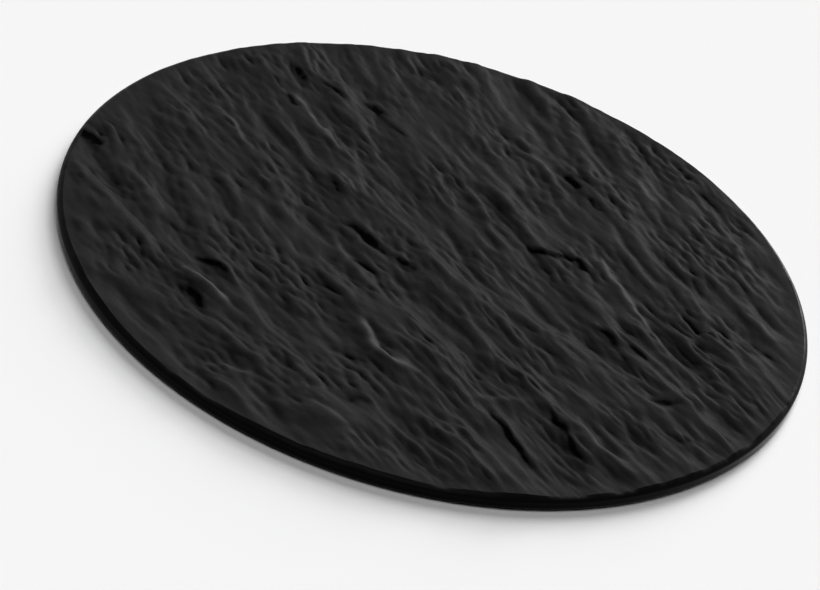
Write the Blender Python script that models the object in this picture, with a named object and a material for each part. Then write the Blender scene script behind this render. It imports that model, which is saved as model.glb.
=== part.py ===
"""Round riven stone slab standing on four thin self-adhesive pads.

Metres, +Z up. The floor is z = 0, the slab's centre line is the Z axis, and the front is -Y.
"""
import math

import bmesh
import bpy
from mathutils import Vector, noise

# Slab: honed wall with both edges eased, sawn flat underside, split upper face
SLAB_RADIUS = 0.150
SLAB_THICKNESS = 0.0056
TOP_EASE_WIDTH = 0.0020
TOP_EASE_DROP = 0.0020
FOOT_EASE = 0.0014
EASE_STEPS = 4
GRID_CELLS = 40

# Split face: long streaks along the grain, over broad swells
GRAIN_ANGLE = math.radians(-50.0)
STREAK_LENGTH = 0.060
STREAK_WIDTH = 0.017
STREAK_HEIGHT = 0.00055
SWELL_LENGTH = 0.110
SWELL_HEIGHT = 0.00035
RIM_SHARE = 0.35
RIM_BAND = 0.020

# Pads: thin discs glued under the slab on a square
PAD_RADIUS = 0.0090
PAD_THICKNESS = 0.0005
PAD_EDGE = 0.00012
PAD_SIDES = 40
PAD_OFFSET = 0.074
GLUE_GAP = 0.0003

UNDERSIDE_Z = PAD_THICKNESS + GLUE_GAP
RIM_Z = UNDERSIDE_Z + SLAB_THICKNESS
RIM_RADIUS = SLAB_RADIUS - TOP_EASE_WIDTH


def clear_scene():
    """Remove every object of the open scene."""
    for item in list(bpy.data.objects):
        bpy.data.objects.remove(item, do_unlink=True)


def finish_material(name, colour, roughness):
    """A plain Principled material."""
    material = bpy.data.materials.new(name)
    material.use_nodes = True
    shader = material.node_tree.nodes["Principled BSDF"]
    shader.inputs["Base Color"].default_value = (*colour, 1.0)
    shader.inputs["Roughness"].default_value = roughness
    shader.inputs["Metallic"].default_value = 0.0
    return material


def add_object(name, mesh, material, parent, place=(0.0, 0.0, 0.0)):
    """Link a mesh as one named sub-part under the assembly's empty."""
    mesh.materials.append(material)
    item = bpy.data.objects.new(name, mesh)
    item.location = place
    item.parent = parent
    bpy.context.scene.collection.objects.link(item)
    return item


def square_to_disc(x, y):
    """Carry a point of the square -1..1 to the unit disc, so that square rings become round ones."""
    if x == 0.0 and y == 0.0:
        return 0.0, 0.0
    if abs(x) > abs(y):
        radius = x
        angle = math.pi / 4.0 * y / x
    else:
        radius = y
        angle = math.pi / 2.0 - math.pi / 4.0 * x / y
    return radius * math.cos(angle), radius * math.sin(angle)


def split_height(x, y):
    """Height of the split face over the rim plane: streaks along the grain on broad swells."""
    along = x * math.cos(GRAIN_ANGLE) + y * math.sin(GRAIN_ANGLE)
    across = y * math.cos(GRAIN_ANGLE) - x * math.sin(GRAIN_ANGLE)
    streak = noise.noise(Vector((along / STREAK_LENGTH, across / STREAK_WIDTH, 2.7)))
    swell = noise.noise(Vector((x / SWELL_LENGTH, y / SWELL_LENGTH, 8.3)))
    inward = min(1.0, (RIM_RADIUS - math.hypot(x, y)) / RIM_BAND)
    share = RIM_SHARE + (1.0 - RIM_SHARE) * inward
    return share * (STREAK_HEIGHT * streak + SWELL_HEIGHT * swell)


def wall_profile():
    """Rings of the wall from the rim down to the underside: radius, height, share of the rim's waves."""
    rings = []
    for step in range(1, EASE_STEPS + 1):
        turn = math.pi / 2.0 * step / EASE_STEPS
        radius = RIM_RADIUS + TOP_EASE_WIDTH * math.sin(turn)
        height = RIM_Z - TOP_EASE_DROP * (1.0 - math.cos(turn))
        rings.append((radius, height, 1.0 - step / EASE_STEPS))
    for step in range(EASE_STEPS + 1):
        turn = math.pi / 2.0 * step / EASE_STEPS
        radius = SLAB_RADIUS - FOOT_EASE * (1.0 - math.cos(turn))
        height = UNDERSIDE_Z + FOOT_EASE * (1.0 - math.sin(turn))
        rings.append((radius, height, 0.0))
    return rings


def slab_mesh():
    """Split face as a round grid, carried down the wall ring by ring and closed by the flat underside."""
    bm = bmesh.new()
    bmesh.ops.create_grid(bm, x_segments=GRID_CELLS, y_segments=GRID_CELLS, size=1.0)
    for vert in bm.verts:
        x, y = square_to_disc(vert.co.x, vert.co.y)
        x *= RIM_RADIUS
        y *= RIM_RADIUS
        vert.co = (x, y, RIM_Z + split_height(x, y))
    edges = [edge for edge in bm.edges if edge.is_boundary]
    for radius, height, waves in wall_profile():
        extruded = bmesh.ops.extrude_edge_only(bm, edges=edges)["geom"]
        for vert in [item for item in extruded if isinstance(item, bmesh.types.BMVert)]:
            outward = Vector((vert.co.x, vert.co.y, 0.0)).normalized()
            wave = split_height(outward.x * RIM_RADIUS, outward.y * RIM_RADIUS)
            vert.co = outward * radius + Vector((0.0, 0.0, height + waves * wave))
        edges = [item for item in extruded if isinstance(item, bmesh.types.BMEdge)]
    bmesh.ops.contextual_create(bm, geom=edges)
    bmesh.ops.triangulate(bm, faces=[face for face in bm.faces if len(face.verts) == 4])
    bmesh.ops.recalc_face_normals(bm, faces=bm.faces)
    mesh = bpy.data.meshes.new("stone_slab")
    bm.to_mesh(mesh)
    bm.free()
    return mesh


def pad_mesh(name):
    """A thin disc about its own centre."""
    bm = bmesh.new()
    bmesh.ops.create_cone(
        bm,
        cap_ends=True,
        segments=PAD_SIDES,
        radius1=PAD_RADIUS,
        radius2=PAD_RADIUS,
        depth=PAD_THICKNESS,
    )
    mesh = bpy.data.meshes.new(name)
    bm.to_mesh(mesh)
    bm.free()
    return mesh


def ease_edges(item, width):
    """Round a pad's two rims."""
    bevel = item.modifiers.new("eased_rims", "BEVEL")
    bevel.width = width
    bevel.segments = 2
    bevel.limit_method = "ANGLE"
    bevel.angle_limit = math.radians(40.0)


clear_scene()
assembly = bpy.data.objects.new("slab_assembly", None)
bpy.context.scene.collection.objects.link(assembly)

stone = finish_material("basalt", (0.022, 0.022, 0.022), 0.6)
rubber = finish_material("pad_rubber", (0.020, 0.020, 0.021), 0.85)

add_object("stone_slab", slab_mesh(), stone, assembly)
for depth_word, y in (("front", -PAD_OFFSET), ("rear", PAD_OFFSET)):
    for side_word, x in (("left", -PAD_OFFSET), ("right", PAD_OFFSET)):
        pad_name = "pad_" + depth_word + "_" + side_word
        pad = add_object(pad_name, pad_mesh(pad_name), rubber, assembly, (x, y, PAD_THICKNESS / 2.0))
        ease_edges(pad, PAD_EDGE)
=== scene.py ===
"""Round riven basalt slab on four low pads, on a pale studio floor. Metres, +Z up, front towards -Y."""
import math

import bpy
import numpy as np
from mathutils import Matrix, Vector


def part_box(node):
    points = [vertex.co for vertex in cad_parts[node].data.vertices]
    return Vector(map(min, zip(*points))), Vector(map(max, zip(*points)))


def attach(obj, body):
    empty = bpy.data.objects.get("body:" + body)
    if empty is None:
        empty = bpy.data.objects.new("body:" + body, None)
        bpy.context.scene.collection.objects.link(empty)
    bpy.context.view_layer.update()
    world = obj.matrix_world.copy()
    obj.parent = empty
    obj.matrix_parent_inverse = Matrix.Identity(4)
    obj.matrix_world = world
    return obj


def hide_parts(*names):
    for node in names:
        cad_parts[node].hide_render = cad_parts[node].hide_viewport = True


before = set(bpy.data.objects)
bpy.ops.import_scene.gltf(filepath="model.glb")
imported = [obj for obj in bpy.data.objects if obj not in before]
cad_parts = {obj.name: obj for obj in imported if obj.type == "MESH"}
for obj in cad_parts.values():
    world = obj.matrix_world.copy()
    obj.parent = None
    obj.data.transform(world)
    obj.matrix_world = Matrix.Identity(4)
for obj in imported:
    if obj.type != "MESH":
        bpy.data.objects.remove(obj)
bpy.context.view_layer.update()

# ----------------------------------------------------------------------------------------------------
# Camera. A long lens looks down on the slab from the front, turned a little on its own axis, so that
# the round slab reads as a tilted oval with its wall showing along the near side.
CAMERA_DISTANCE = 1.0
CAMERA_ELEVATION = math.radians(34.15)
CAMERA_ROLL = math.radians(15.78)
CAMERA_AIM = Vector((-0.0060, -0.0298, 0.0))
CAMERA_LENS = 114.55
CAMERA_SENSOR = 36.0

camera_data = bpy.data.cameras.new("studio_camera")
camera_data.sensor_fit = "HORIZONTAL"
camera_data.sensor_width = CAMERA_SENSOR
camera_data.lens = CAMERA_LENS
camera = bpy.data.objects.new("studio_camera", camera_data)
bpy.context.scene.collection.objects.link(camera)
towards_camera = Vector((0.0, -math.cos(CAMERA_ELEVATION), math.sin(CAMERA_ELEVATION)))
camera.matrix_world = (
    Matrix.Translation(CAMERA_AIM + CAMERA_DISTANCE * towards_camera)
    @ Matrix.Rotation(math.pi / 2.0 - CAMERA_ELEVATION, 4, "X")
    @ Matrix.Rotation(CAMERA_ROLL, 4, "Z")
)
bpy.context.scene.camera = camera

# ----------------------------------------------------------------------------------------------------
# Stone slab. One disc of dark basalt, split along its grain so that the upper face keeps the natural
# ridges, hollows and broken ledges. The wall is ground round and honed smooth, both its edges are
# eased, and the underside is sawn flat.
MM = 0.001
SLAB_LOW, SLAB_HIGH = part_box("stone_slab")
SLAB_RADIUS = (SLAB_HIGH[0] - SLAB_LOW[0]) / 2.0
UNDERSIDE_Z = SLAB_LOW[2]
SLAB_THICKNESS = 5.6 * MM
TOP_EASE_WIDTH = 2.0 * MM
TOP_EASE_DROP = 2.0 * MM
ARRIS_TILT = math.radians(45.0)
EASE_BANDS = 5
FOOT_EASE = 1.4 * MM
FOOT_BANDS = 4
RIM_RADIUS = SLAB_RADIUS - TOP_EASE_WIDTH
RIM_Z = UNDERSIDE_Z + SLAB_THICKNESS
CELLS_ALONG = 208
CELLS_ACROSS = 408
RIM_BAND = 9.0
RIM_SHARE = 0.35
# Share of a ridge's height that is painted paler into the face's colour, partly as worn stone and partly
# as a painted highlight.
RIDGE_WEAR_AND_HIGHLIGHT = 0.3
DULL_SHARE = 0.6

# The grain of the face. Each layer of it is a height, a length along the grain and a width across it,
# in millimetres; the cross breaks run at an angle of their own, and only over the front of the slab.
GRAIN_ANGLE = math.radians(-50.0)
GRAIN_FAN = 0.00087
SWELLS = (1.4, 90.0, 24.0)
RIDGES = (0.95, 42.0, 11.0)
STREAKS = (0.50, 19.0, 5.6)
FLAKES = (0.27, 8.0, 3.4)
GRAINS = (0.20, 4.6, 2.8)
NICKS = (0.8, 8.0, 3.4)
NICK_LEVEL = 0.25
PLATE_SHARE = 0.45
PLATE_STEP = 0.9
PLATE_RISER = 0.6
CROSS_ANGLE = math.radians(-14.0)
CROSS_BREAKS = (0.45, 26.0, 9.0)
CROSS_START = 35.0
CROSS_BAND = 45.0
# How far the grain wanders sideways, and over what distance, broadly and finely; and how far apart the
# patches lie in which the layers are bolder, rougher or more broken across.
BROAD_WANDER = (1.8, 60.0)
FINE_WANDER = (0.35, 14.0)
BOLD_PATCH = 42.0
ROUGH_PATCH = 30.0
CROSS_PATCH = 35.0

# The face's large breaks in millimetres, each along a line of a few given points, which wanders a little
# to and fro. Cracks, short open grooves at the foot of a broken layer: line, width, strength.
BREAK_WANDER = (0.9, 7.0)
CRACK_DEPTH = 0.6
# Each crack is also painted near-black into the face's colour, as painted shade down in it.
CRACKS = [
    ([(-38, 0), (-31, -6), (-24, -13), (-18, -17)], 1.9, 1.1),
    ([(-15, -17), (-10, -20), (-6, -23)], 1.6, 1.1),
    ([(-31, -24), (-26, -28), (-21, -32)], 1.3, 1.0),
    ([(-19, -36), (-15, -41), (-13, -44)], 1.0, 0.7),
    ([(-8, -50), (-5, -53), (-1, -56)], 1.1, 0.8),
    ([(3, -62), (6, -66), (8, -68)], 1.3, 0.8),
    ([(-46, 93), (-41, 88), (-36, 82)], 1.7, 1.2),
    ([(-33, 79), (-28, 73), (-24, 69)], 1.3, 0.7),
    ([(-81, 105), (-76, 98), (-70, 92)], 1.3, 0.9),
    ([(-66, 96), (-59, 91), (-53, 86)], 1.2, 0.7),
    ([(-87, 90), (-80, 82)], 1.3, 0.9),
    ([(-79, 80), (-72, 71)], 1.4, 1.0),
    ([(31, 16), (39, 15), (47, 16), (53, 16), (59, 11), (64, 4)], 1.3, 1.0),
    ([(67, -26), (72, -30), (76, -35)], 1.5, 1.0),
    ([(78, -31), (83, -35), (88, -39)], 1.4, 1.0),
    ([(75, -36), (81, -45), (88, -56)], 0.9, 0.5),
    ([(88, -63), (95, -63), (103, -60)], 1.2, 1.1),
    ([(52, -84), (56, -90), (61, -98), (66, -107), (74, -118)], 1.3, 1.0),
    ([(32, -96), (38, -103), (44, -111), (53, -122)], 1.3, 1.0),
    ([(-88, -54), (-81, -55), (-74, -58), (-70, -62)], 1.2, 1.0),
    ([(-86, -73), (-81, -78), (-76, -84)], 1.2, 0.9),
    ([(-151, 10), (-144, 7), (-138, 3)], 2.2, 1.4),
    ([(43, 79), (50, 70)], 1.8, 1.0),
    ([(54, 65), (60, 56)], 1.3, 0.7),
    ([(89, 109), (96, 102)], 1.4, 0.9),
    ([(100, 95), (109, 83)], 1.3, 0.7),
    ([(-31, 132), (-22, 123)], 1.6, 0.9),
    ([(39, -71), (45, -74), (51, -79)], 1.2, 0.9),
    ([(97, -79), (103, -82), (111, -81)], 1.7, 0.6),
    ([(-20, -113), (-14, -110), (-7, -110)], 2.2, 0.5),
    ([(-31, -84), (-22, -86), (-13, -87)], 1.6, 0.5),
    ([(104, -16), (111, -21)], 1.3, 0.7),
    ([(126, -7), (138, -17)], 1.3, 0.7),
    ([(-51, 25), (-46, 19), (-41, 12)], 1.2, 0.6),
    ([(-107, -33), (-98, -38), (-90, -41)], 1.6, 0.4),
]
# Ledges, the broken edges of layers: line, rise of the layer on the left of the line, and how far back
# that layer takes to sink to the face. A negative rise lifts the layer on the right, and the edge of such
# a ledge is softer; where it rises by more than HIGHLIGHT_FROM, a painted highlight lies pale along that
# edge in the face's colour.
LEDGE_RISE = 1.3
LEDGE_EDGE = 0.9
RUBBED_LEDGE_EDGE = 1.4
HIGHLIGHT_FROM = 0.7
HIGHLIGHT_WIDTH = 1.7
LEDGES = [
    ([(-39, 1), (-30, -8), (-21, -15)], 1.0, 7.0),
    ([(-17, -14), (-11, -19), (-7, -24)], 1.0, 6.0),
    ([(-31, -20), (-20, -31), (-14, -40), (-7, -52), (7, -67)], 0.7, 6.0),
    ([(-47, 93), (-41, 87), (-37, 82), (-26, 70)], 0.9, 7.0),
    ([(-83, 106), (-76, 98), (-70, 91)], 0.7, 6.0),
    ([(-136, -50), (-130, -59)], 0.8, 6.0),
    ([(-90, -54), (-80, -56), (-75, -58), (-69, -64)], 0.9, 7.0),
    ([(28, 15), (38, 15.5), (46, 15), (51, 18), (57, 12), (63, 5)], 1.1, 9.0),
    ([(63, -25), (70, -28), (75, -34)], 1.0, 6.0),
    ([(51, -84), (57, -91), (61, -101), (67, -111), (76, -118)], 1.1, 8.0),
    ([(32, -94), (38, -102), (44, -111), (52, -119), (60, -128)], 1.1, 8.0),
    ([(43, 80), (49, 72), (58, 60)], 0.9, 7.0),
    ([(-100, 50), (-92, 42)], 0.9, 4.0),
    ([(-51, 28), (-44, 20), (-37, 12)], 1.0, 5.0),
    ([(102, -30), (113, -44)], 0.8, 5.0),
    ([(-38, 44), (-25, 30)], 0.7, 5.0),
    ([(-55, -50), (-44, -72)], 0.6, 5.0),
    ([(-78, 82), (-70, 76), (-63, 65), (-57, 56), (-47, 45)], -1.4, 9.0),
    ([(-108, 63), (-99, 53), (-90, 41), (-83, 31)], -1.0, 9.0),
    ([(-59, 101), (-49, 84)], -0.7, 6.0),
    ([(-50, 33), (-43, 26), (-37, 17)], -1.0, 6.0),
    ([(-46, -6), (-39, -15), (-31, -31)], -0.9, 7.0),
    ([(-30, -12), (-20, -25), (-11, -38)], -0.7, 4.0),
    ([(-23, -58), (-18, -68), (-12, -79), (-4, -84), (6, -86)], -1.9, 8.0),
    ([(-36, -42), (-28, -50), (-23, -57)], -0.8, 6.0),
    ([(-91, -64), (-84, -67), (-77, -70), (-69, -77)], -3.0, 6.0),
    ([(87, -63), (92, -67), (100, -66)], -1.2, 3.0),
    ([(-120, -52), (-113, -60), (-108, -67)], -0.9, 7.0),
    ([(58, 24), (66, 16), (73, 5), (82, -8), (95, -26)], -1.8, 11.0),
    ([(70, 93), (76, 84), (84, 73)], -1.1, 6.0),
    ([(24, 90), (32, 83), (40, 72)], -1.1, 6.0),
    ([(38, 86), (46, 78)], -0.8, 4.0),
    ([(69, 69), (75, 62)], -0.8, 5.0),
    ([(111, 72), (122, 51), (132, 37), (141, 25)], -1.1, 8.0),
    ([(123, 11), (130, 6), (137, -4)], -1.2, 6.0),
    ([(104, -52), (113, -57)], -1.2, 5.0),
    ([(64, -86), (75, -100), (87, -105)], -1.3, 7.0),
    ([(-71, -114), (-62, -112), (-54, -115), (-45, -123)], -1.1, 8.0),
    ([(-30, -120), (-18, -127), (-9, -134)], -1.0, 7.0),
    ([(-38, -102), (-29, -111)], -0.8, 5.0),
    ([(-16, -92), (-4, -103)], -0.8, 6.0),
    ([(22, -92), (36, -87), (50, -83)], -0.9, 7.0),
    ([(98, -12), (108, -11), (119, -3)], -0.7, 4.0),
    ([(-34, 144), (-23, 130)], -1.0, 7.0),
    ([(-77, 12), (-70, 9)], -1.0, 3.0),
    ([(40, 92), (47, 80)], -0.8, 5.0),
    ([(-75, -8), (-62, -25)], -0.6, 8.0),
    ([(-57, -57), (-49, -66)], -0.8, 5.0),
    ([(22, -50), (30, -62), (36, -71)], -0.7, 6.0),
    ([(40, -60), (55, -72)], -0.7, 6.0),
]
# Hollows: centre, length along the grain, width across it, and depth.
HOLLOWS = [
    ((45, 105), 34.0, 7.0, 0.9),
    ((-20, -108), 11.0, 6.0, 1.3),
    ((-22, -88), 6.0, 9.0, 0.6),
    ((100, -81), 6.0, 12.0, 0.7),
    ((82, -87), 7.0, 6.0, 0.5),
    ((-93, -40), 9.0, 10.0, 0.6),
    ((-50, 13), 16.0, 4.0, 0.6),
    ((-60, -17), 16.0, 4.0, 0.5),
    ((114, 48), 18.0, 5.0, 0.6),
    ((-33, -36), 6.0, 4.0, 0.5),
]


def smooth_noise(u, v, seed):
    """Rolling noise between about -1 and 1: a random slope at every whole-numbered point of the (u, v)
    plane, and between them the four nearest slopes blended by a curve that starts and ends level."""
    slopes = np.random.default_rng(seed).uniform(0.0, 2.0 * math.pi, (256, 256))
    cell_u = np.floor(u).astype(int)
    cell_v = np.floor(v).astype(int)
    part_u = u - cell_u
    part_v = v - cell_v

    def slope_height(step_u, step_v):
        turn = slopes[(cell_u + step_u) % 256, (cell_v + step_v) % 256]
        return np.cos(turn) * (part_u - step_u) + np.sin(turn) * (part_v - step_v)

    blend_u = part_u**3 * (part_u * (6.0 * part_u - 15.0) + 10.0)
    blend_v = part_v**3 * (part_v * (6.0 * part_v - 15.0) + 10.0)
    near = slope_height(0, 0) * (1.0 - blend_u) + slope_height(1, 0) * blend_u
    far = slope_height(0, 1) * (1.0 - blend_u) + slope_height(1, 1) * blend_u
    return 1.5 * (near * (1.0 - blend_v) + far * blend_v)


def terraces(height, step, riser):
    """A height pressed into flat plates one step apart. Between two plates it climbs along a soft S over
    the share of the step called riser."""
    level = height / step
    climb = np.clip((level - np.floor(level) - 0.5) / riser + 0.5, 0.0, 1.0)
    return step * (np.floor(level) + climb**2 * (3.0 - 2.0 * climb))


def turned(x, y, angle):
    """The same points measured along a direction at an angle from +X, and across it."""
    along = x * math.cos(angle) + y * math.sin(angle)
    across = y * math.cos(angle) - x * math.sin(angle)
    return along, across


def layer_noise(along, across, layer, seed):
    """Rolling noise between -1 and 1 whose swellings have a layer's length and width."""
    _, length, width = layer
    return smooth_noise(along / length, across / width, seed)


def grain_height(x, y):
    """Height of the split face without its large breaks, for x, y and height in millimetres. Swells,
    ridges and streaks, each a noise stretched along the grain, are added up, and a share of their sum
    pressed into flat plates is added to it, so that they part in small ledges. Flat-topped flakes,
    grains and small sharp nicks lie over them, and flat-topped cross breaks over the front. The grain
    fans out and wanders sideways, and every layer is bolder in some patches than in others."""
    along, across = turned(x, y, GRAIN_ANGLE)
    across = across + GRAIN_FAN * along * across - 0.5 * GRAIN_FAN * along**2
    for (shift, size), seed in ((BROAD_WANDER, 11), (FINE_WANDER, 12)):
        across = across + shift * smooth_noise(x / size, y / size, seed)
    bold = np.clip(1.0 + smooth_noise(x / BOLD_PATCH, y / BOLD_PATCH, 13), 0.2, 2.0)
    rough = np.clip(0.8 + 1.5 * smooth_noise(x / ROUGH_PATCH, y / ROUGH_PATCH, 14), 0.1, 2.2)

    layers = SWELLS[0] * layer_noise(along, across, SWELLS, 21)
    layers = layers + RIDGES[0] * bold * layer_noise(along, across, RIDGES, 22)
    layers = layers + STREAKS[0] * bold * layer_noise(along, across, STREAKS, 23)
    height = layers + PLATE_SHARE * terraces(layers, PLATE_STEP, PLATE_RISER)
    height = height + FLAKES[0] * rough * np.tanh(2.0 * layer_noise(along, across, FLAKES, 24))
    height = height + GRAINS[0] * (0.5 + 0.5 * rough) * layer_noise(along, across, GRAINS, 25)
    nicks = np.clip(layer_noise(along, across, NICKS, 27) - NICK_LEVEL, 0.0, 1.0)
    height = height - NICKS[0] * rough * nicks

    slant, steep = turned(x, y, CROSS_ANGLE)
    crossed = np.clip((-y - CROSS_START) / CROSS_BAND, 0.0, 1.0)
    crossed = crossed * (1.0 + smooth_noise(x / CROSS_PATCH, y / CROSS_PATCH, 15))
    breaks = np.tanh(2.0 * layer_noise(slant, steep, CROSS_BREAKS, 26))
    return height + CROSS_BREAKS[0] * crossed * breaks


def run_distance(x, y, line):
    """Distance of every point from a drawn line of straight runs, negative on its right-hand side, and
    how far along the line, from 0 to 1, its nearest point lies."""
    line = np.array(line, dtype=float)
    steps = np.diff(line, axis=0)
    lengths = np.hypot(steps[:, 0], steps[:, 1])
    starts = np.concatenate([[0.0], np.cumsum(lengths)[:-1]])
    best = np.full(x.shape, np.inf)
    side = np.zeros(x.shape)
    place = np.zeros(x.shape)
    for (from_x, from_y), (step_x, step_y), length, start in zip(line, steps, lengths, starts):
        share = ((x - from_x) * step_x + (y - from_y) * step_y) / length**2
        share = np.clip(share, 0.0, 1.0)
        gap_x = x - from_x - share * step_x
        gap_y = y - from_y - share * step_y
        gap = np.hypot(gap_x, gap_y)
        closer = gap < best
        best = np.where(closer, gap, best)
        side = np.where(closer, np.sign(step_x * gap_y - step_y * gap_x), side)
        place = np.where(closer, start + share * length, place)
    return side * best, place / lengths.sum()


def fading(place):
    """Strength of a break along its line: none at its two ends, full over the middle."""
    return np.sin(math.pi * np.clip(place, 0.0, 1.0)) ** 0.7


def crack(x, y, line, width):
    """How deep in a crack each point lies: 1 along its line, falling to 0 outside and at both ends."""
    gap, place = run_distance(x, y, line)
    return fading(place) * np.exp(-((gap / width) ** 2))


def ledge(x, y, line, rise, reach):
    """A broken step along a line: the layer on the left of the line stands higher by rise, or the one on
    its right where rise is negative, in a soft step over the line. Behind it the layer sinks back to the
    face over the distance called reach, which shrinks towards both ends of the line."""
    gap, place = run_distance(x, y, line)
    edge = LEDGE_EDGE
    if rise < 0.0:
        gap = -gap
        edge = RUBBED_LEDGE_EDGE
    strength = fading(place)
    step = 0.5 + 0.5 * np.tanh(gap / edge)
    sinking = np.exp(-np.maximum(gap, 0.0) / (reach * (0.15 + 0.85 * strength)))
    return abs(rise) * strength * step * sinking


def hollow(x, y, centre, length, width, depth):
    """A shallow dish with a bell-shaped section: length and width are its half sizes along the grain and
    across it."""
    along, across = turned(x - centre[0], y - centre[1], GRAIN_ANGLE)
    return -depth * np.exp(-((along / length) ** 2) - (across / width) ** 2)


def wandering(x, y):
    """Points shifted a little to and fro, so that a straight line laid through them wanders."""
    shift, size = BREAK_WANDER
    shift_x = shift * smooth_noise(x / size, y / size, 31)
    shift_y = shift * smooth_noise(x / size, y / size, 32)
    return x + shift_x, y + shift_y


def crack_share(x, y):
    """How deep in any crack each point of the face lies, from 0 to 1, for x and y in millimetres."""
    x, y = wandering(x, y)
    share = np.zeros(x.shape)
    for line, width, strength in CRACKS:
        share = np.maximum(share, strength * crack(x, y, line, width))
    uneven = 0.85 + 0.55 * smooth_noise(x / 3.5, y / 3.5, 33)
    return np.clip(uneven * share, 0.0, 1.0)


def painted_highlight_edges(x, y):
    """How strongly a painted highlight lies pale along the edges of the ledges with a negative rise, from
    0 to 1: the more, the higher the ledge stands over HIGHLIGHT_FROM, fading away from its line over
    HIGHLIGHT_WIDTH."""
    x, y = wandering(x, y)
    share = np.zeros(x.shape)
    for line, rise, reach in LEDGES:
        gap, place = run_distance(x, y, line)
        painted_light_and_wear = np.clip(-rise - HIGHLIGHT_FROM, 0.0, 1.2) * fading(place)
        share = np.maximum(share, painted_light_and_wear * np.exp(-((gap / HIGHLIGHT_WIDTH) ** 2)))
    uneven = 0.75 + 0.9 * smooth_noise(x / 5.0, y / 5.0, 34)
    return np.clip(uneven * share, 0.0, 1.0)


def break_height(x, y):
    """Height of the large breaks of the split face, in millimetres: broken ledges and hollows, listed one
    by one."""
    x, y = wandering(x, y)
    height = np.zeros(x.shape)
    for line, rise, reach in LEDGES:
        height = height + LEDGE_RISE * ledge(x, y, line, rise, reach)
    for centre, length, width, depth in HOLLOWS:
        height = height + hollow(x, y, centre, length, width, depth)
    return height


def face_height(x, y):
    """Height of the whole split face over the rim's level, all in metres: grain, breaks and cracks. The
    relief calms down towards the rim, to RIM_SHARE of itself over the last RIM_BAND millimetres."""
    x = x / MM
    y = y / MM
    inward = np.clip((RIM_RADIUS / MM - np.hypot(x, y)) / RIM_BAND, 0.0, 1.0)
    calm = RIM_SHARE + (1.0 - RIM_SHARE) * inward**2 * (3.0 - 2.0 * inward)
    return MM * calm * (grain_height(x, y) + break_height(x, y) - CRACK_DEPTH * crack_share(x, y))


def wear_and_painted_light(height):
    """How far each point of the face stands over the mean of the two points that lie two cells away from
    it across the grain, in millimetres. It is below zero down in the furrows, where it paints shade into
    the face's colour, and above zero along the ridges, which are painted paler by
    RIDGE_WEAR_AND_HIGHLIGHT of it, partly as worn stone and partly as a painted highlight."""
    wear_and_light_paint = np.zeros(height.shape)
    wear_and_light_paint[:, 2:-2] = height[:, 2:-2] - 0.5 * (height[:, 4:] + height[:, :-4])
    return np.where(wear_and_light_paint > 0.0, RIDGE_WEAR_AND_HIGHLIGHT, 1.0) * wear_and_light_paint / MM


def round_grid(cells_along, cells_across):
    """Points of a square grid over -1..1 carried to the unit disc: each square ring becomes a circle
    of the same half-width, and the points along its sides are spread evenly round that circle. The
    grid is turned so that its wide cells lie along the grain and its narrow ones across it."""
    a, b = np.meshgrid(
        np.linspace(-1.0, 1.0, cells_along + 1),
        np.linspace(-1.0, 1.0, cells_across + 1),
        indexing="ij",
    )
    steep = np.abs(b) > np.abs(a)
    reach = np.where(steep, b, a)
    share = np.where(steep, a, b) / np.where(reach == 0.0, 1.0, reach)
    turn = np.where(steep, math.pi / 2.0 - math.pi / 4.0 * share, math.pi / 4.0 * share)
    turn = turn + GRAIN_ANGLE
    return reach * np.cos(turn), reach * np.sin(turn)


def wall_rings():
    """Half section of the wall from the rim down to the underside, as radius, height and the share of
    the rim's waves that is left: the last part of a quarter ellipse, which starts at the arris already
    tilted outwards by ARRIS_TILT, then a straight drop and a quarter circle."""
    top = np.linspace(ARRIS_TILT, math.pi / 2.0, EASE_BANDS + 1)[1:]
    foot = np.linspace(0.0, math.pi / 2.0, FOOT_BANDS + 1)
    widening = (np.sin(top) - math.sin(ARRIS_TILT)) / (1.0 - math.sin(ARRIS_TILT))
    falling = 1.0 - np.cos(top) / math.cos(ARRIS_TILT)
    radius = np.concatenate([
        RIM_RADIUS + TOP_EASE_WIDTH * widening,
        SLAB_RADIUS - FOOT_EASE * (1.0 - np.cos(foot)),
    ])
    height = np.concatenate([
        RIM_Z - TOP_EASE_DROP * falling,
        UNDERSIDE_Z + FOOT_EASE * (1.0 - np.sin(foot)),
    ])
    waves = np.concatenate([(1.0 - falling) ** 2, np.zeros(foot.size)])
    return radius, height, waves


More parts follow.
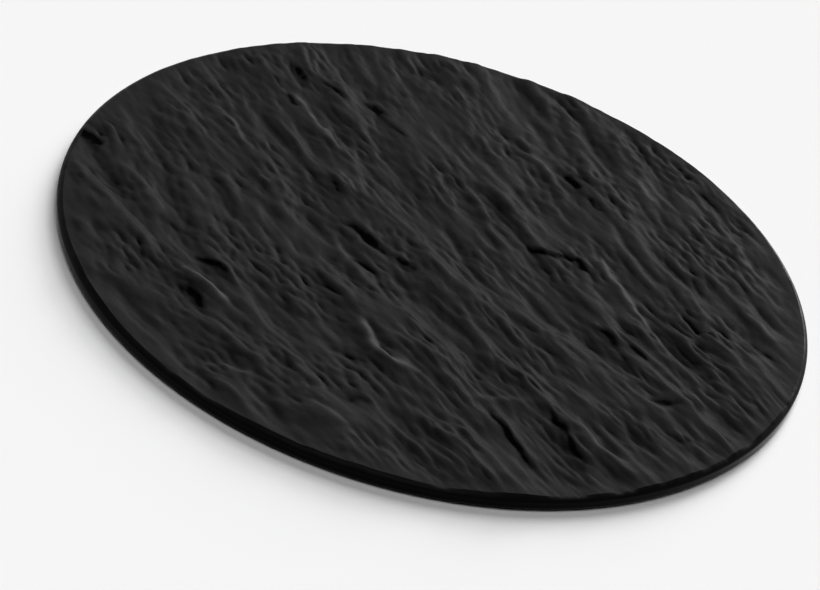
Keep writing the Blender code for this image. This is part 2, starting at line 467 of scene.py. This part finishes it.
def slab_mesh():
    """The split face as a round grid, the wall as rings carried down from its rim, and a flat underside.
    The attribute that shifts the face's colour holds the ridges paled, partly as worn stone and partly as
    a painted highlight, and the furrows darkened as painted shade, plus a painted highlight along the
    raised ledge edges, less a painted shade in the cracks."""
    x, y = round_grid(CELLS_ALONG, CELLS_ACROSS)
    x = RIM_RADIUS * x
    y = RIM_RADIUS * y
    face = np.stack([x, y, RIM_Z + face_height(x, y)], axis=-1)
    number = np.arange(x.size).reshape(x.shape)
    rim = np.concatenate([number[:-1, 0], number[-1, :-1], number[:0:-1, -1], number[0, :0:-1]])
    rim_points = face.reshape(-1, 3)[rim]
    outward = rim_points[:, :2] / np.linalg.norm(rim_points[:, :2], axis=1, keepdims=True)
    radius, height, waves = wall_rings()
    wall_xy = radius[:, None, None] * outward[None]
    wall_z = height[:, None] + waves[:, None] * (rim_points[:, 2] - RIM_Z)[None]
    wall = np.concatenate([wall_xy, wall_z[..., None]], axis=-1)
    points = np.concatenate([face.reshape(-1, 3), wall.reshape(-1, 3), [[0.0, 0.0, UNDERSIDE_Z]]])

    wall_number = x.size + np.arange(wall.shape[0] * rim.size).reshape(-1, rim.size)
    rings = np.concatenate([rim[None], wall_number])
    around = np.roll(rings, -1, axis=1)
    corners = [number[:-1, :-1], number[1:, :-1], number[1:, 1:], number[:-1, 1:]]
    face_quads = np.stack(corners, axis=-1)
    wall_quads = np.stack([rings[:-1], rings[1:], around[1:], around[:-1]], axis=-1)
    centre = np.full(rim.size, len(points) - 1)
    foot_triangles = np.stack([centre, around[-1], rings[-1]], axis=-1)

    quads = np.concatenate([face_quads.reshape(-1, 4), wall_quads.reshape(-1, 4)])
    mesh = bpy.data.meshes.new("riven_slab")
    mesh.from_pydata(points.tolist(), [], quads.tolist() + foot_triangles.tolist())
    ease_count = EASE_BANDS * rim.size
    wall_count = wall_quads.size // 4 - ease_count
    counts = [face_quads.size // 4, ease_count, wall_count, rim.size]
    finish = np.repeat(np.arange(len(counts)), counts)
    mesh.polygons.foreach_set("material_index", finish.astype(np.int32))
    mesh.polygons.foreach_set("use_smooth", np.ones(finish.size, dtype=bool))
    ends = np.empty(2 * len(mesh.edges), dtype=np.int32)
    mesh.edges.foreach_get("vertices", ends)
    on_rim = np.zeros(len(points), dtype=bool)
    on_rim[rim] = True
    crisp = on_rim[ends.reshape(-1, 2)].all(axis=1)
    mesh.edges.foreach_set("use_edge_sharp", crisp)
    wear_and_light_paint = np.zeros(len(points), dtype=np.float32)
    # The face's colour: ridges paled as worn stone and painted highlight, painted shade in the furrows
    # and cracks, painted highlight along the raised ledge edges.
    painted_light_and_wear = wear_and_painted_light(face[..., 2]) + painted_highlight_edges(x / MM, y / MM) - crack_share(x / MM, y / MM)
    wear_and_light_paint[:x.size] = painted_light_and_wear.ravel()
    mesh.attributes.new("wear_and_painted_light", "FLOAT", "POINT").data.foreach_set("value", wear_and_light_paint)
    mesh.update()
    return mesh


def blank_material(name):
    """A new material that holds only its surface shader: the material, its nodes, links and shader."""
    material = bpy.data.materials.new(name)
    material.use_nodes = True
    nodes = material.node_tree.nodes
    return material, nodes, material.node_tree.links, nodes["Principled BSDF"]


def noise_node(nodes, links, vector, scale, detail, roughness=0.5):
    """A cloudy noise from 0 to 1 over a vector, with as many cells to each of its units as scale says."""
    noise = nodes.new("ShaderNodeTexNoise")
    noise.inputs["Scale"].default_value = scale
    noise.inputs["Detail"].default_value = detail
    noise.inputs["Roughness"].default_value = roughness
    links.new(vector, noise.inputs["Vector"])
    return noise.outputs["Fac"]


def stretched_noise_node(nodes, links, vector, angle, sizes, detail, roughness=0.5):
    """A cloudy noise whose cells have their own sizes in metres along x, y and z, turned about z."""
    frame_of_cells = nodes.new("ShaderNodeMapping")
    frame_of_cells.vector_type = "TEXTURE"
    frame_of_cells.inputs["Rotation"].default_value = (0.0, 0.0, angle)
    frame_of_cells.inputs["Scale"].default_value = sizes
    links.new(vector, frame_of_cells.inputs["Vector"])
    return noise_node(nodes, links, frame_of_cells.outputs["Vector"], 1.0, detail, roughness)


def range_node(nodes, links, value, low, high, lowest=0.0, highest=1.0):
    """A value spread over low to high as it goes from lowest to highest, and held at them beyond."""
    spread = nodes.new("ShaderNodeMapRange")
    spread.inputs["From Min"].default_value = lowest
    spread.inputs["From Max"].default_value = highest
    spread.inputs["To Min"].default_value = low
    spread.inputs["To Max"].default_value = high
    links.new(value, spread.inputs["Value"])
    return spread.outputs["Result"]


def colour_node(nodes, links, value, stops):
    """A value turned into a colour by stops of position and colour, given in rising order."""
    ramp = nodes.new("ShaderNodeValToRGB")
    elements = ramp.color_ramp.elements
    for element, (position, colour) in zip(elements, (stops[0], stops[-1])):
        element.position = position
        element.color = (*colour, 1.0)
    for position, colour in stops[1:-1]:
        elements.new(position).color = (*colour, 1.0)
    links.new(value, ramp.inputs["Fac"])
    return ramp.outputs["Color"]


def add_bump(nodes, links, shader, height, distance, strength):
    """Fine relief on a shader: a height from 0 to 1 stands for a distance in metres."""
    bump = nodes.new("ShaderNodeBump")
    bump.inputs["Strength"].default_value = strength
    bump.inputs["Distance"].default_value = distance
    links.new(height, bump.inputs["Height"])
    links.new(bump.outputs["Normal"], shader.inputs["Normal"])


def riven_basalt():
    """Natural split stone: near-black and speckled with fine crystals. Its colour is painted paler along
    its ridges, partly as worn stone and partly as a painted highlight, and along the raised ledge edges
    as a painted highlight, and painted near-black as shade down in its furrows and cracks. Fine streaks
    along the cleft change its height and its sheen a little."""
    material, nodes, links, shader = blank_material("riven_basalt")
    shader.inputs["Specular IOR Level"].default_value = 0.0012
    place = nodes.new("ShaderNodeTexCoord").outputs["Object"]
    streak_sizes = (0.013, 0.0042, 0.0042)
    streaks = stretched_noise_node(nodes, links, place, GRAIN_ANGLE, streak_sizes, 4.0, 0.55)
    crystals = noise_node(nodes, links, place, 1100.0, 2.0)
    wear_and_light_paint = nodes.new("ShaderNodeAttribute")
    wear_and_light_paint.attribute_name = "wear_and_painted_light"
    painted_light_and_wear = range_node(nodes, links, wear_and_light_paint.outputs["Fac"], 0.0, 1.0, -0.70, 0.70)
    speckled = nodes.new("ShaderNodeMath")
    speckled.operation = "ADD"
    links.new(painted_light_and_wear, speckled.inputs[0])
    links.new(range_node(nodes, links, crystals, -0.07, 0.07), speckled.inputs[1])
    # The ramp's near-black end is the painted shade of furrows and cracks; its pale end is the painted
    # highlight and worn stone of ridges and ledge edges.
    tone = colour_node(nodes, links, speckled.outputs["Value"], (
        (0.0, (0.001, 0.001, 0.001)),
        (0.5, (0.0185, 0.0185, 0.0185)),
        (1.0, (0.052, 0.052, 0.052)),
    ))
    dullness = range_node(nodes, links, streaks, 0.46, 0.34, 0.3, 0.7)
    links.new(tone, shader.inputs["Base Color"])
    links.new(dullness, shader.inputs["Roughness"])
    add_bump(nodes, links, shader, streaks, 0.00024, 1.0)
    return material


def honed_basalt(name, refraction, dullest):
    """The ground and honed stone of the wall: black and smooth, with hardly any sheen seen square on,
    and with the faint lines that the grinding wheel leaves round the stone. Its roughness is the value
    called dullest in the dullest patches, and DULL_SHARE of it in the brightest."""
    material, nodes, links, shader = blank_material(name)
    shader.inputs["IOR"].default_value = refraction
    place = nodes.new("ShaderNodeTexCoord").outputs["Object"]
    wheel_lines = stretched_noise_node(nodes, links, place, 0.0, (0.050, 0.050, 0.0003), 3.0)
    cloudy = noise_node(nodes, links, place, 90.0, 4.0)
    tone = range_node(nodes, links, cloudy, 0.0003, 0.0009)
    polish = range_node(nodes, links, cloudy, DULL_SHARE * dullest, dullest)
    links.new(tone, shader.inputs["Base Color"])
    links.new(polish, shader.inputs["Roughness"])
    add_bump(nodes, links, shader, wheel_lines, 0.000006, 0.5)
    return material


def sawn_basalt():
    """The sawn underside: dull grey-black with pale mineral specks and the straight, slightly uneven
    scores of the saw blade, a few millimetres apart."""
    material, nodes, links, shader = blank_material("sawn_basalt")
    shader.inputs["Specular IOR Level"].default_value = 0.2
    place = nodes.new("ShaderNodeTexCoord").outputs["Object"]
    scores = nodes.new("ShaderNodeTexWave")
    scores.wave_type = "BANDS"
    scores.bands_direction = "X"
    scores.inputs["Scale"].default_value = 80.0
    scores.inputs["Distortion"].default_value = 1.4
    scores.inputs["Detail"].default_value = 3.0
    scores.inputs["Detail Scale"].default_value = 0.6
    links.new(place, scores.inputs["Vector"])
    specks = noise_node(nodes, links, place, 1500.0, 3.0)
    patches = noise_node(nodes, links, place, 28.0, 4.0)
    blend = nodes.new("ShaderNodeMix")
    blend.data_type = "FLOAT"
    blend.inputs["Factor"].default_value = 0.4
    links.new(specks, blend.inputs["A"])
    links.new(patches, blend.inputs["B"])
    stone = colour_node(nodes, links, blend.outputs["Result"], (
        (0.35, (0.012, 0.012, 0.012)),
        (0.68, (0.085, 0.085, 0.086)),
    ))
    dullness = range_node(nodes, links, patches, 0.55, 0.80)
    links.new(stone, shader.inputs["Base Color"])
    links.new(dullness, shader.inputs["Roughness"])
    add_bump(nodes, links, shader, scores.outputs["Fac"], 0.0005, 0.8)
    return material


# The upper edge is eased by hand and stays satin; the wall below it is honed, and mirrors the floor.
slab = bpy.data.objects.new("riven_slab", slab_mesh())
bpy.context.scene.collection.objects.link(slab)
slab.data.materials.append(riven_basalt())
slab.data.materials.append(honed_basalt("honed_basalt_edge", refraction=1.09, dullest=0.50))
slab.data.materials.append(honed_basalt("honed_basalt_wall", refraction=1.13, dullest=0.15))
slab.data.materials.append(sawn_basalt())
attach(slab, "root")
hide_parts("stone_slab")

# ----------------------------------------------------------------------------------------------------
# Non-slip pads. Four thin discs of black rubber, die-cut from sheet, each held under the stone by its
# own thin film of clear adhesive. Their soles lie on the floor and carry the slab.
PAD_NODES = ("pad_front_left", "pad_front_right", "pad_rear_left", "pad_rear_right")
PAD_SIDES = 96
PAD_EASE = 0.12 * MM
PAD_EASE_BANDS = 4
FILM_INSET = 0.35 * MM
FILM_BANDS = 3


def pad_profile(radius, rubber_top):
    """Half section of a pad from the middle of its sole, up its wall, to the middle of its film: a flat
    sole, a quarter circle, a straight wall, a quarter circle, and the film's smaller step above."""
    turn = np.linspace(0.0, math.pi / 2.0, PAD_EASE_BANDS + 1)
    across = np.concatenate([
        [0.25 * radius, 0.6 * radius],
        radius - PAD_EASE * (1.0 - np.sin(turn)),
        radius - PAD_EASE * (1.0 - np.cos(turn)),
        [radius - FILM_INSET, radius - FILM_INSET, 0.5 * radius],
    ])
    up = np.concatenate([
        [0.0, 0.0],
        PAD_EASE * (1.0 - np.cos(turn)),
        rubber_top - PAD_EASE * (1.0 - np.sin(turn)),
        [rubber_top, UNDERSIDE_Z, UNDERSIDE_Z],
    ])
    return across, up


def pad_mesh(name, low, high):
    """The profile carried once round the pad's centre line, its two middles closed by fans. The last
    FILM_BANDS bands of the profile and the upper fan are the film."""
    centre = [(low[0] + high[0]) / 2.0, (low[1] + high[1]) / 2.0]
    across, up = pad_profile((high[0] - low[0]) / 2.0, high[2])
    turn = np.arange(PAD_SIDES) * (2.0 * math.pi / PAD_SIDES)
    x = centre[0] + across[:, None] * np.cos(turn)[None]
    y = centre[1] + across[:, None] * np.sin(turn)[None]
    z = np.repeat(up[:, None], PAD_SIDES, axis=1)
    points = np.concatenate([
        np.stack([x, y, z], axis=-1).reshape(-1, 3),
        [[centre[0], centre[1], 0.0], [centre[0], centre[1], UNDERSIDE_Z]],
    ])
    rings = np.arange(across.size * PAD_SIDES).reshape(-1, PAD_SIDES)
    around = np.roll(rings, -1, axis=1)
    quads = np.stack([rings[:-1], around[:-1], around[1:], rings[1:]], axis=-1).reshape(-1, 4)
    sole = np.stack([np.full(PAD_SIDES, rings.size), around[0], rings[0]], axis=-1)
    crown = np.stack([np.full(PAD_SIDES, rings.size + 1), rings[-1], around[-1]], axis=-1)
    mesh = bpy.data.meshes.new(name)
    mesh.from_pydata(points.tolist(), [], quads.tolist() + sole.tolist() + crown.tolist())
    film = np.zeros(len(quads) + 2 * PAD_SIDES, dtype=np.int32)
    film[len(quads) - FILM_BANDS * PAD_SIDES:len(quads)] = 1
    film[-PAD_SIDES:] = 1
    mesh.polygons.foreach_set("material_index", film)
    mesh.polygons.foreach_set("use_smooth", np.ones(film.size, dtype=bool))
    mesh.update()
    mesh.set_sharp_from_angle(angle=math.radians(40.0))
    return mesh


def pad_rubber():
    """Die-cut sheet rubber: black, dull, with a fine pebbled skin and grey scuffs where it slides."""
    material, nodes, links, shader = blank_material("pad_rubber")
    shader.inputs["Specular IOR Level"].default_value = 0.3
    place = nodes.new("ShaderNodeTexCoord").outputs["Object"]
    pebbles = nodes.new("ShaderNodeTexVoronoi")
    pebbles.inputs["Scale"].default_value = 2200.0
    links.new(place, pebbles.inputs["Vector"])
    scuffs = noise_node(nodes, links, place, 260.0, 5.0, 0.65)
    colour = colour_node(nodes, links, scuffs, (
        (0.48, (0.008, 0.008, 0.009)),
        (0.80, (0.045, 0.044, 0.043)),
    ))
    dullness = range_node(nodes, links, scuffs, 0.65, 0.92)
    links.new(colour, shader.inputs["Base Color"])
    links.new(dullness, shader.inputs["Roughness"])
    add_bump(nodes, links, shader, pebbles.outputs["Distance"], 0.00006, 0.6)
    return material


def adhesive_film():
    """The pad's adhesive film: thin, slightly yellowed and cloudy where it has caught dust."""
    material, nodes, links, shader = blank_material("adhesive_film")
    place = nodes.new("ShaderNodeTexCoord").outputs["Object"]
    dust = noise_node(nodes, links, place, 500.0, 4.0)
    colour = colour_node(nodes, links, dust, (
        (0.0, (0.30, 0.28, 0.22)),
        (1.0, (0.52, 0.50, 0.43)),
    ))
    gloss = range_node(nodes, links, dust, 0.25, 0.50)
    links.new(colour, shader.inputs["Base Color"])
    links.new(gloss, shader.inputs["Roughness"])
    return material


pad_finishes = (pad_rubber(), adhesive_film())
for pad_node in PAD_NODES:
    pad_name = "rubber_" + pad_node
    pad = bpy.data.objects.new(pad_name, pad_mesh(pad_name, *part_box(pad_node)))
    bpy.context.scene.collection.objects.link(pad)
    for finish_material in pad_finishes:
        pad.data.materials.append(finish_material)
    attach(pad, "root")
    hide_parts(pad_node)

# ----------------------------------------------------------------------------------------------------
# Floor and light. A plain matt floor. Three broad lights stand one above another behind the slab, a
# little to the right, so that ridges catch the light and the shadow falls softly to the front left. A
# fourth, high in front, opens the shadows.
FLOOR_HALF = 6.0
FLOOR_GREY = 0.85
ROOM_GREY = 0.92
floor_mesh = bpy.data.meshes.new("studio_floor")
floor_corners = [(-1.0, -1.0), (1.0, -1.0), (1.0, 1.0), (-1.0, 1.0)]
floor_points = [(FLOOR_HALF * x, FLOOR_HALF * y, 0.0) for x, y in floor_corners]
floor_mesh.from_pydata(floor_points, [], [(0, 1, 2, 3)])
floor = bpy.data.objects.new("studio_floor", floor_mesh)
bpy.context.scene.collection.objects.link(floor)
floor_paint, _, _, floor_shader = blank_material("floor_paint")
floor_shader.inputs["Base Color"].default_value = (FLOOR_GREY, FLOOR_GREY, FLOOR_GREY, 1.0)
floor_shader.inputs["Roughness"].default_value = 1.0
floor_shader.inputs["Specular IOR Level"].default_value = 0.0
floor_mesh.materials.append(floor_paint)


def sun(name, strength, spread, azimuth, elevation):
    """A broad, even light from far away, spread over an angle in the sky. Its azimuth turns from +X
    towards +Y. All angles are in degrees."""
    data = bpy.data.lights.new(name, "SUN")
    data.energy = strength
    data.angle = math.radians(spread)
    lamp = bpy.data.objects.new(name, data)
    lamp.rotation_euler = (0.0, math.radians(90.0 - elevation), math.radians(azimuth))
    bpy.context.scene.collection.objects.link(lamp)


sun("low_light", strength=2.5, spread=24.0, azimuth=72.0, elevation=13.5)
sun("key_light", strength=1.85, spread=26.0, azimuth=75.0, elevation=26.0)
sun("high_light", strength=1.4, spread=30.0, azimuth=79.0, elevation=46.0)
sun("overhead_light", strength=1.07, spread=40.0, azimuth=-90.0, elevation=70.0)

# The pale room is only seen directly and in reflections. All the light on the floor comes from the four
# lights and from the slab.
world = bpy.data.worlds.new("pale_room")
bpy.context.scene.world = world
world.use_nodes = True
room = world.node_tree.nodes["Background"]
room.inputs["Color"].default_value = (ROOM_GREY, ROOM_GREY, ROOM_GREY, 1.0)
world.cycles_visibility.diffuse = False
bpy.context.scene.view_settings.view_transform = "Standard"
